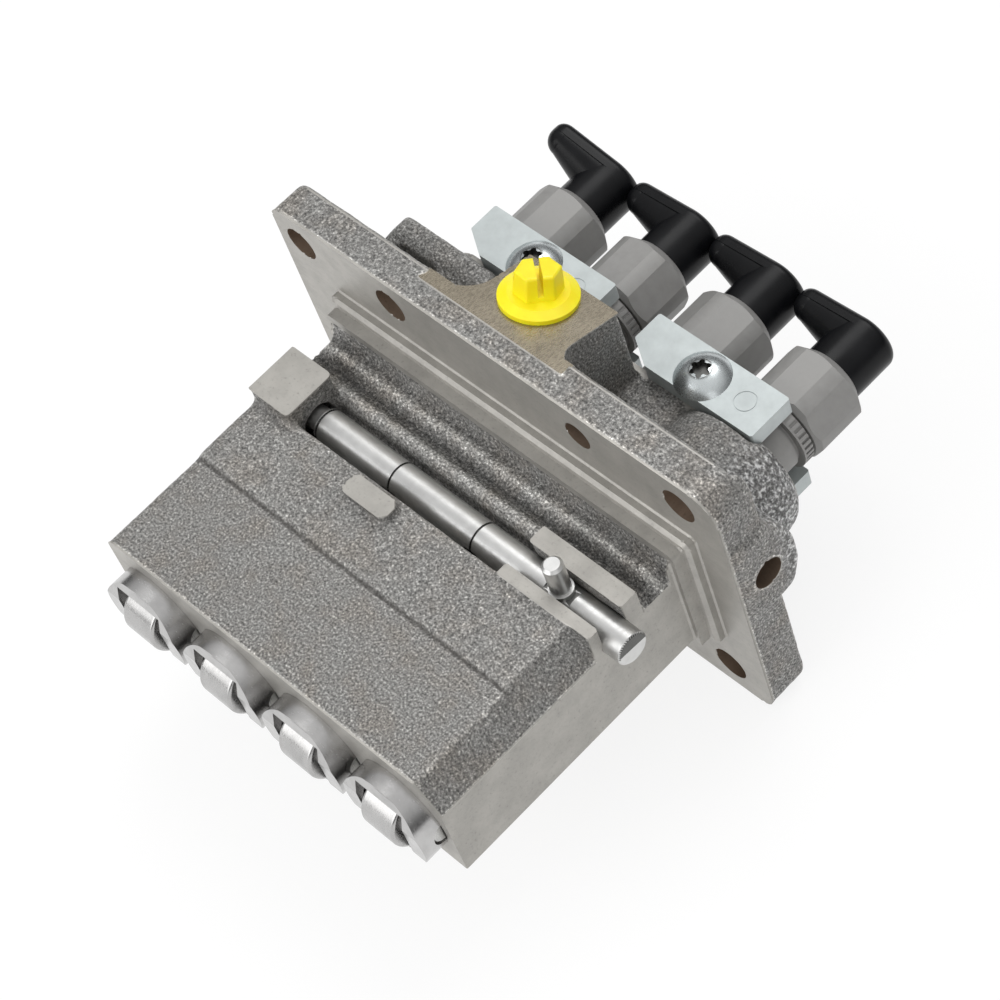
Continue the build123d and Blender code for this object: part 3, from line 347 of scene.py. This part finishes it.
def cast_look():
    """Sand-cast iron: speckled grey with painted glints, lighter on its crests from wear and painted
    highlight, with painted shade in its hollows and creases.
    """
    look = Look("cast_skin", metallic=0.3, roughness=0.55)
    along, row, up = look.axes()

    # Speckles of the sand grain, the brightest of them partly painted glints, under a slow change of tint
    fine = look.noise(0.6, 3.0, 0.65)
    grain_and_glints = look.ramp(fine, (0.30, 0.05), (0.42, 0.15), (0.54, 0.25), (0.64, 0.42), (0.74, 0.85))
    slow = look.noise(9.0, 3.0, 0.55)
    tint = look.ramp(slow, (0.33, (1.0, 0.94, 0.86)), (0.50, (1.0, 0.975, 0.93)), (0.66, (1.04, 1.03, 0.99)))
    skin = look.mix(1.0, grain_and_glints, tint, "MULTIPLY")

    # The end mass by the last element was cast in coarser sand; its bright specks are partly painted glints
    last = look.product(look.zone(along, COARSE_FROM_X), look.zone(row, COARSE_FROM_Y))
    lump = look.noise(0.95, 3.0, 0.6)
    coarse_grain_and_glints = look.ramp(lump, (0.36, 0.06), (0.48, 0.19), (0.56, 0.45), (0.64, 0.95))
    skin = look.mix(look.product(last, 0.7), skin, coarse_grain_and_glints)

    # Crests lighter, partly wear and partly painted highlight; hollows darker with painted shade
    curve = look.node("ShaderNodeNewGeometry").outputs["Pointiness"]
    bend = look.spread(curve, 0.43, 0.57)
    wear_and_painted_light = look.ramp(bend, (0.0, 0.30), (0.46, 0.95), (0.56, 1.05), (1.0, 2.0))
    skin = look.mix(1.0, skin, wear_and_painted_light, "MULTIPLY")

    # Ribs of the neck: painted highlight on the crests and painted shade in the valleys
    ribs = look.product(look.zone(row, NECK_FROM_Y), look.zone(row, NECK_TO_Y, 1.0, 0.0))
    painted_rib_light = look.ramp(look.zone(row, NECK_ROWS), *NECK_PAINTED_LIGHT)
    skin = look.mix(ribs, skin, look.mix(1.0, skin, painted_rib_light, "MULTIPLY"))

    # Painted shade in the crease of the front step
    upper = look.zone(row, (CREASE_Y - 1.6 * CREASE_HALF, CREASE_Y))
    lower = look.zone(row, (CREASE_Y, CREASE_Y + 2.2 * CREASE_HALF), 1.0, 0.0)
    front = look.zone(up, (CREASE_ABOVE_Z - 0.5, CREASE_ABOVE_Z + 0.5), 0.0, 0.6)
    painted_crease_shade = look.product(look.product(upper, lower), front)
    look.put("Base Color", look.mix(painted_crease_shade, skin, (0.05, 0.045, 0.04)))
    look.put("Roughness", look.spread(fine, 0.35, 0.7, 0.64, 0.34))
    look.put("Metallic", look.spread(look.total(last, ribs), 0.0, 1.0, 0.3, 0.6))

    bosses = look.zone(row, BOSSES_FROM_Y)
    coarse = look.product(lump, look.spread(look.total(ribs, bosses), 0.0, 1.0, 0.25, 1.0))
    rough = look.bump(look.noise(0.9, 3.0, 0.6), 0.20)
    look.bump(coarse, 0.75, 0.8, rough)
    return look.material


def machined_look(name, colour, roughness, lay=(0.04, 1.0, 1.0), metallic=0.6):
    """Milled iron: fine lay of the cutter with faint stains and pores."""
    look = Look(name, metallic=metallic, roughness=roughness)
    lines = look.noise(0.35, 2.0, 0.6, look.stretched(lay))
    stain = look.noise(6.0, 3.0, 0.6)
    pores = look.noise(0.8, 3.0, 0.6)
    dark = tuple(0.84 * c for c in colour)
    base = look.mix(look.spread(stain, 0.35, 0.7), colour, dark)
    fleck = look.ramp(pores, (0.27, 0.7), (0.35, 0.92), (0.46, 1.0))
    look.put("Base Color", look.mix(1.0, base, fleck, "MULTIPLY"))
    look.put("Roughness", look.spread(lines, 0.3, 0.7, roughness - 0.06, roughness + 0.08))
    look.bump(lines, 0.014, 0.6)
    return look.material


def ground_look(name, colour, roughness, along=(1.0, 1.0, 1.0), size=0.25, depth=0.004):
    """Ground or turned steel, its fine marks stretched along the way the tool ran."""
    look = Look(name, metallic=1.0, roughness=roughness)
    marks = look.noise(size, 2.0, 0.6, look.stretched(along))
    stain = look.noise(4.0, 2.0, 0.5)
    dull = tuple(0.85 * c for c in colour)
    look.put("Base Color", look.mix(look.spread(stain, 0.4, 0.75), colour, dull))
    look.put("Roughness", look.spread(marks, 0.3, 0.7, roughness * 0.8, roughness * 1.25))
    look.bump(marks, depth, 0.6)
    return look.material


def holder_look():
    """Phosphated steel: even grey with a soft mottle."""
    look = Look("phosphated_steel", metallic=0.25, roughness=0.55)
    mottle = look.noise(2.4, 4.0, 0.6)
    fine = look.noise(0.3, 2.0, 0.5)
    look.put("Base Color", look.ramp(mottle, (0.3, (0.285, 0.280, 0.272)), (0.7, (0.325, 0.320, 0.312))))
    look.put("Roughness", look.spread(mottle, 0.3, 0.7, 0.50, 0.62))
    look.bump(fine, 0.008, 0.5)
    return look.material


def zinc_look(name, colour, metallic, roughness):
    """Zinc plating with a faint cloud and tiny pits."""
    look = Look(name, metallic=metallic, roughness=roughness)
    cloud = look.noise(5.0, 3.0, 0.6)
    pits = look.noise(0.35, 2.0, 0.6)
    dull = tuple(0.86 * c for c in colour)
    look.put("Base Color", look.mix(look.spread(cloud, 0.35, 0.7), colour, dull))
    look.put("Roughness", look.spread(pits, 0.3, 0.7, roughness * 0.85, roughness * 1.2))
    look.bump(pits, 0.006, 0.6)
    return look.material


def rubber_look():
    """Moulded black rubber with a satin skin."""
    look = Look("black_rubber", roughness=0.3, Specular_IOR_Level=0.18)
    skin = look.noise(1.4, 3.0, 0.6)
    dust = look.noise(9.0, 3.0, 0.6)
    look.put("Base Color", look.ramp(dust, (0.4, (0.0035, 0.0037, 0.0045)), (0.75, (0.007, 0.0073, 0.0085))))
    look.put("Roughness", look.spread(dust, 0.35, 0.7, 0.26, 0.36))
    look.bump(skin, 0.02, 0.3)
    return look.material


def plastic_look():
    """Yellow moulded polyethylene."""
    look = Look("yellow_plastic", roughness=0.38, Subsurface_Weight=0.2, Subsurface_Scale=0.002)
    flow = look.noise(5.0, 2.0, 0.5)
    look.put("Base Color", look.ramp(flow, (0.35, (0.98, 0.80, 0.006)), (0.7, (1.0, 0.87, 0.012))))
    look.put("Roughness", look.spread(flow, 0.3, 0.7, 0.33, 0.44))
    look.bump(look.noise(0.6, 2.0, 0.5), 0.012, 0.4)
    return look.material


def copper_look():
    """Annealed copper, slightly tarnished."""
    look = Look("copper", metallic=1.0, roughness=0.35)
    tarnish = look.noise(1.5, 3.0, 0.6)
    look.put("Base Color", look.ramp(tarnish, (0.3, (0.72, 0.36, 0.24)), (0.75, (0.42, 0.2, 0.12))))
    look.bump(tarnish, 0.01, 0.4)
    return look.material


def dress(name, material):
    """Gives a CAD node one material."""
    piece = frame["nodes"][name]
    piece.data.materials.clear()
    piece.data.materials.append(material)


def in_socket(x, y, z):
    """Whether a place in mm is inside the socket of a lock plate screw."""
    return math.hypot(abs(x) - SOCKET_X, y - SOCKET_Y) < SOCKET_R and SOCKET_Z[0] < abs(z) < SOCKET_Z[1]


def in_groove(x, y, z):
    """Whether a place in mm is in a ring groove on the open side of the rack."""
    return x > GROOVE_FROM_X and z > RACK_Z and math.hypot(y - RACK_Y, z - RACK_Z) < GROOVE_R


def paint_recess_shade(node, inside):
    """Painted shade: dark steel on the faces of a CAD node that lie inside a recess."""
    data = frame["nodes"][node].data
    data.materials.append(materials["painted_recess_shade"])
    for face in data.polygons:
        if inside(*(face.center / MM)):
            face.material_index = 1


def welded(node):
    """Mesh of a CAD node with its doubled vertices joined."""
    mesh = bmesh.new()
    mesh.from_mesh(frame["nodes"][node].data)
    bmesh.ops.remove_doubles(mesh, verts=mesh.verts, dist=1e-6)
    data = bpy.data.meshes.new(node + "_welded")
    mesh.to_mesh(data)
    mesh.free()
    return data


def remeshed(data, voxel):
    """The closed mesh rebuilt from small even quads."""
    carrier = bpy.data.objects.new("carrier", data)
    bpy.context.scene.collection.objects.link(carrier)
    modifier = carrier.modifiers.new("voxels", "REMESH")
    modifier.mode = "VOXEL"
    modifier.voxel_size = voxel
    modifier.adaptivity = 0.0
    graph = bpy.context.evaluated_depsgraph_get()
    result = bpy.data.meshes.new_from_object(carrier.evaluated_get(graph))
    bpy.data.objects.remove(carrier)
    return result


def array_of(items, name, kind, width=1):
    """A property of all items as an array, with a row for each item where it is a list."""
    flat = np.empty(len(items) * width, kind)
    items.foreach_get(name, flat)
    return flat.reshape(-1, width) if width > 1 else flat


def evened(values, pairs, weight, rounds):
    """Moves each value towards the mean of its neighbours, by its own weight, some rounds over."""
    a, b = pairs.T
    count = np.bincount(a, minlength=len(values)) + np.bincount(b, minlength=len(values))
    count = np.maximum(count, 1)
    for _ in range(rounds):
        total = np.empty_like(values)
        for k in range(values.shape[1]):
            total[:, k] = (np.bincount(a, values[b, k], len(values))
                           + np.bincount(b, values[a, k], len(values)))
        values = values + weight[:, None] * (total / count[:, None] - values)
    return values


def is_drilled(x, y, z, normal):
    """Whether a face is in the side hole or on the wall of a flange hole."""
    wall = abs(normal.y) < WALL
    in_side_hole = math.hypot(y - SIDE_HOLE_Y, z - SIDE_HOLE_Z) < SIDE_HOLE_R
    if in_side_hole and (x > SIDE_HOLE_MOUTH_X or wall and x > SIDE_HOLE_END_X):
        return True
    low, high = FLANGE_HOLE_Y
    return wall and low < y < high and any(
        math.hypot(x - a, z - b) < FLANGE_HOLE_R for a in FLANGE_HOLE_X for b in FLANGE_HOLE_Z)


def is_machined(place, normal):
    """Whether a face is one of the machined faces or the wall of a tappet bore."""
    x, y, z = place
    for *limits, sides in MACHINED_FACES.values():
        inside = all(low < value < high for value, (low, high) in zip(place, limits))
        faces = not sides or any(normal.dot(Vector(SIDES[side])) > FACING for side in sides)
        if inside and faces:
            return True
    return y < BORE_BELOW_Y and min(math.hypot(x - a, z) for a in BORE_X) < BORE_R


def kind_of(place, normal):
    """Surface kind of a face of the housing, from its place in mm and its normal."""
    if is_drilled(*place, normal):
        return DRILLED
    if normal.dot(Vector(INLET_FACE)) > IN_INLET_FACE and place.z > INLET_ABOVE_Z:
        return MILLED
    return MACHINED if is_machined(place, normal) else CAST


def waves(place):
    """Depth in metres of the sand's marks and of the front step's crease at a place."""
    sand = sum(depth * (noise.noise(place / (size * MM)) - WAVE_CREST) for size, depth in SKIN_WAVES)
    front = place.z > CREASE_ABOVE_Z * MM and place.x < CREASE_LEFT_OF_X * MM
    crease = CREASE_DEPTH * math.exp(-(((place.y / MM - CREASE_Y) / CREASE_HALF) ** 2)) if front else 0.0
    return MM * (sand - crease)


def crisp_edges(data, kinds):
    """Points along the sharp edges of the machined faces."""
    sides = {}
    for face, kind in zip(data.polygons, kinds):
        for key in face.edge_keys:
            sides.setdefault(key, []).append((face.normal, kind))
    found = []
    for (a, b), faces in sides.items():
        if len(faces) == 2 and max(kind for _, kind in faces) > CAST:
            if faces[0][0].dot(faces[1][0]) < SHARP_COSINE:
                start, end = data.vertices[a].co, data.vertices[b].co
                steps = int((end - start).length / EDGE_STEP) + 1
                found += [start.lerp(end, k / steps) for k in range(steps + 1)]
    tree = KDTree(len(found))
    for i, point in enumerate(found):
        tree.insert(point, i)
    tree.balance()
    return tree


def snapped(places, tree, kinds, edges):
    """Points put onto machined faces and crisp edges, and 1 for each point that stays cast, else 0."""
    cast = np.zeros(len(places))
    for i, place in enumerate(places):
        on_face, _, face, _ = tree.find_nearest(Vector(place))
        on_edge, _, gap = edges.find(Vector(place))
        if gap < EDGE_PULL:
            places[i] = on_edge
        elif kinds[face] != CAST:
            places[i] = on_face
        else:
            cast[i] = 1.0
    return places, cast


def weather(skin, places, cast):
    """Moves the cast points of the skin: softened first, then uneven with the sand's waves."""
    pairs = array_of(skin.edges, "vertices", np.int64, 2)
    soft = evened(cast[:, None], pairs, np.ones(len(cast)), 2)[:, 0]
    weight = np.where(cast > 0.5, SKIN_PULL * soft, 0.0)
    places = evened(places, pairs, weight, SKIN_ROUNDS)
    skin.vertices.foreach_set("co", places.ravel())
    skin.update()
    normals = array_of(skin.vertex_normals, "vector", float, 3)
    depth = np.array([waves(Vector(p)) if c else 0.0 for p, c in zip(places, cast)])
    places = places + (depth * soft)[:, None] * normals
    skin.vertices.foreach_set("co", places.ravel())


def finish_faces(skin, tree, kinds, cast):
    """Gives each face of the skin its material, and smooths the faces that have a cast point."""
    skin.materials.clear()
    for name in HOUSING_MATERIALS:
        skin.materials.append(materials[name])
    corner = array_of(skin.loops, "vertex_index", np.int64)
    start = array_of(skin.polygons, "loop_start", np.int64)
    shown = np.array([kinds[tree.find_nearest(p.center)[2]] for p in skin.polygons])
    share = np.add.reduceat(cast[corner], start) / np.diff(np.append(start, len(corner)))
    shown[share > 0.5] = CAST
    shown[(share > 0.0) & (share <= 0.5)] = MACHINED
    skin.polygons.foreach_set("material_index", shown.astype(np.int32))
    skin.polygons.foreach_set("use_smooth", share > 0.0)
    skin.update()


def cast_housing():
    """The housing with softened, uneven cast faces and crisp machined ones."""
    solid = welded("pump_housing")
    tree = BVHTree.FromPolygons([v.co for v in solid.vertices], [p.vertices for p in solid.polygons])
    kinds = [kind_of(p.center / MM, p.normal) for p in solid.polygons]
    edges = crisp_edges(solid, kinds)
    skin = remeshed(solid, SKIN_VOXEL)
    places, cast = snapped(array_of(skin.vertices, "co", float, 3), tree, kinds, edges)
    weather(skin, places, cast)
    finish_faces(skin, tree, kinds, cast)
    piece = bpy.data.objects.new("housing_skin", skin)
    bpy.context.scene.collection.objects.link(piece)
    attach(piece, "pump_body")
    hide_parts("pump_housing")


def live_spring(node):
    """The CAD node's spring copied as a piece of its own on the pump body, the node itself hidden."""
    piece = bpy.data.objects.new(node + "_coil", frame["nodes"][node].data.copy())
    bpy.context.scene.collection.objects.link(piece)
    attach(piece, "pump_body")
    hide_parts(node)
    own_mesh(piece)


def floor():
    """White floor under the object, with the soft shadow kept."""
    low = cad_box[0].z - FLOOR_DROP
    corners = [(x * FLOOR_HALF, y * FLOOR_HALF, low) for x, y in ((-1, -1), (1, -1), (1, 1), (-1, 1))]
    mesh = bpy.data.meshes.new("floor")
    mesh.from_pydata(corners, [], [(0, 1, 2, 3)])
    piece = bpy.data.objects.new("floor", mesh)
    bpy.context.scene.collection.objects.link(piece)
    look = Look("floor", roughness=0.9)
    look.put("Base Color", look.ramp(look.noise(60.0), (0.0, 0.80), (1.0, 0.82)))
    path = look.node("ShaderNodeLightPath").outputs
    mirrored = look.reckon("MAXIMUM", path["Is Glossy Ray"], path["Is Transmission Ray"])
    seen = look.reckon("MAXIMUM", path["Is Camera Ray"], mirrored)
    glow = look.node("ShaderNodeEmission")
    glow.inputs["Strength"].default_value = FLOOR_GLOW
    blend = look.node("ShaderNodeMixShader")
    look.feed(blend.inputs[0], look.product(seen, FLOOR_GLOW_SHARE))
    look.feed(blend.inputs[1], look.shader.outputs[0])
    look.feed(blend.inputs[2], glow.outputs[0])
    look.feed(look.output.inputs["Surface"], blend.outputs[0])
    mesh.materials.append(look.material)


def world():
    """Soft studio surround: bright above, darker towards the horizon."""
    made = bpy.data.worlds.new("studio")
    made.use_nodes = True
    tree = made.node_tree
    coords = tree.nodes.new("ShaderNodeTexCoord")
    split = tree.nodes.new("ShaderNodeSeparateXYZ")
    ramp = tree.nodes.new("ShaderNodeValToRGB")
    set_stops(ramp, SURROUND)
    tree.links.new(coords.outputs["Generated"], split.inputs[0])
    tree.links.new(split.outputs["Z"], ramp.inputs["Fac"])
    tree.links.new(ramp.outputs["Color"], tree.nodes["Background"].inputs["Color"])
    bpy.context.scene.world = made


# Materials by name: colour, roughness, and for worked metal the stretch of the tool's marks
materials = {
    "cast_skin": cast_look(),
    "machined_iron": machined_look("machined_iron", (0.44, 0.425, 0.395), 0.44),
    "milled_iron": machined_look("milled_iron", (0.33, 0.29, 0.225), 0.27, (1.0, 0.06, 1.0), 0.85),
    "drilled_iron": machined_look("drilled_iron", (0.30, 0.225, 0.17), 0.36, (1.0, 0.1, 1.0)),
    "black_rubber": rubber_look(),
    "yellow_plastic": plastic_look(),
    "zinc_plate": zinc_look("zinc_plate", (0.555, 0.60, 0.60), 0.3, 0.42),
    "bright_zinc": zinc_look("bright_zinc", (0.64, 0.68, 0.69), 1.0, 0.28),
    # Dark steel for painted shade in recesses
    "painted_recess_shade": ground_look("painted_recess_shade", (0.13, 0.13, 0.125), 0.42),
    "phosphated_steel": holder_look(),
    "tappet_steel": ground_look("tappet_steel", (0.52, 0.515, 0.51), 0.22, (0.3, 1.0, 0.3), 0.4, 0.0012),
    "roller_steel": ground_look("roller_steel", (0.48, 0.475, 0.47), 0.26, (1.0, 0.3, 0.3), 0.4, 0.0006),
    "rack_steel": ground_look("rack_steel", (0.66, 0.66, 0.65), 0.40, (1.0, 0.15, 0.15), 0.4, 0.002),
    "ground_steel": ground_look("ground_steel", (0.54, 0.54, 0.53), 0.30, (0.05, 1.0, 0.05)),
    "spring_steel": ground_look("spring_steel", (0.22, 0.22, 0.22), 0.35),
    "copper": copper_look(),
}

# Material of the nodes whose names start so; the first match counts, and the rest are ground steel
BY_PREFIX = (
    ("pump_housing", "machined_iron"),
    ("inlet_plug", "yellow_plastic"),
    ("lock_plate_screws", "bright_zinc"),
    ("lock_plate", "zinc_plate"),
    ("rear_lock_plate", "zinc_plate"),
    ("holder_o_rings", "black_rubber"),
    ("seat_washers", "copper"),
    ("control_rack", "rack_steel"),
    ("rack_pin", "rack_steel"),
    ("delivery_valve_holder", "phosphated_steel"),
    ("dust_cap", "black_rubber"),
    ("plunger_spring", "spring_steel"),
    ("valve_spring", "spring_steel"),
    ("tappet_guide", "ground_steel"),
    ("tappet", "tappet_steel"),
    ("roller_pin", "ground_steel"),
    ("roller", "roller_steel"),
)

for node in frame["nodes"]:
    found = [look for prefix, look in BY_PREFIX if node.startswith(prefix)]
    dress(node, materials[found[0] if found else "ground_steel"])
# Painted shade in the screws' sockets and the rack's grooves
paint_recess_shade("lock_plate_screws", in_socket)
paint_recess_shade("control_rack", in_groove)

camera()
lamps()
world()
floor()
cast_housing()
for number in range(1, len(BORE_X) + 1):
    live_spring(f"plunger_spring_{number}")
    live_spring(f"valve_spring_{number}")

view = bpy.context.scene.view_settings
view.view_transform = "Standard"
bpy.context.view_layer.update()
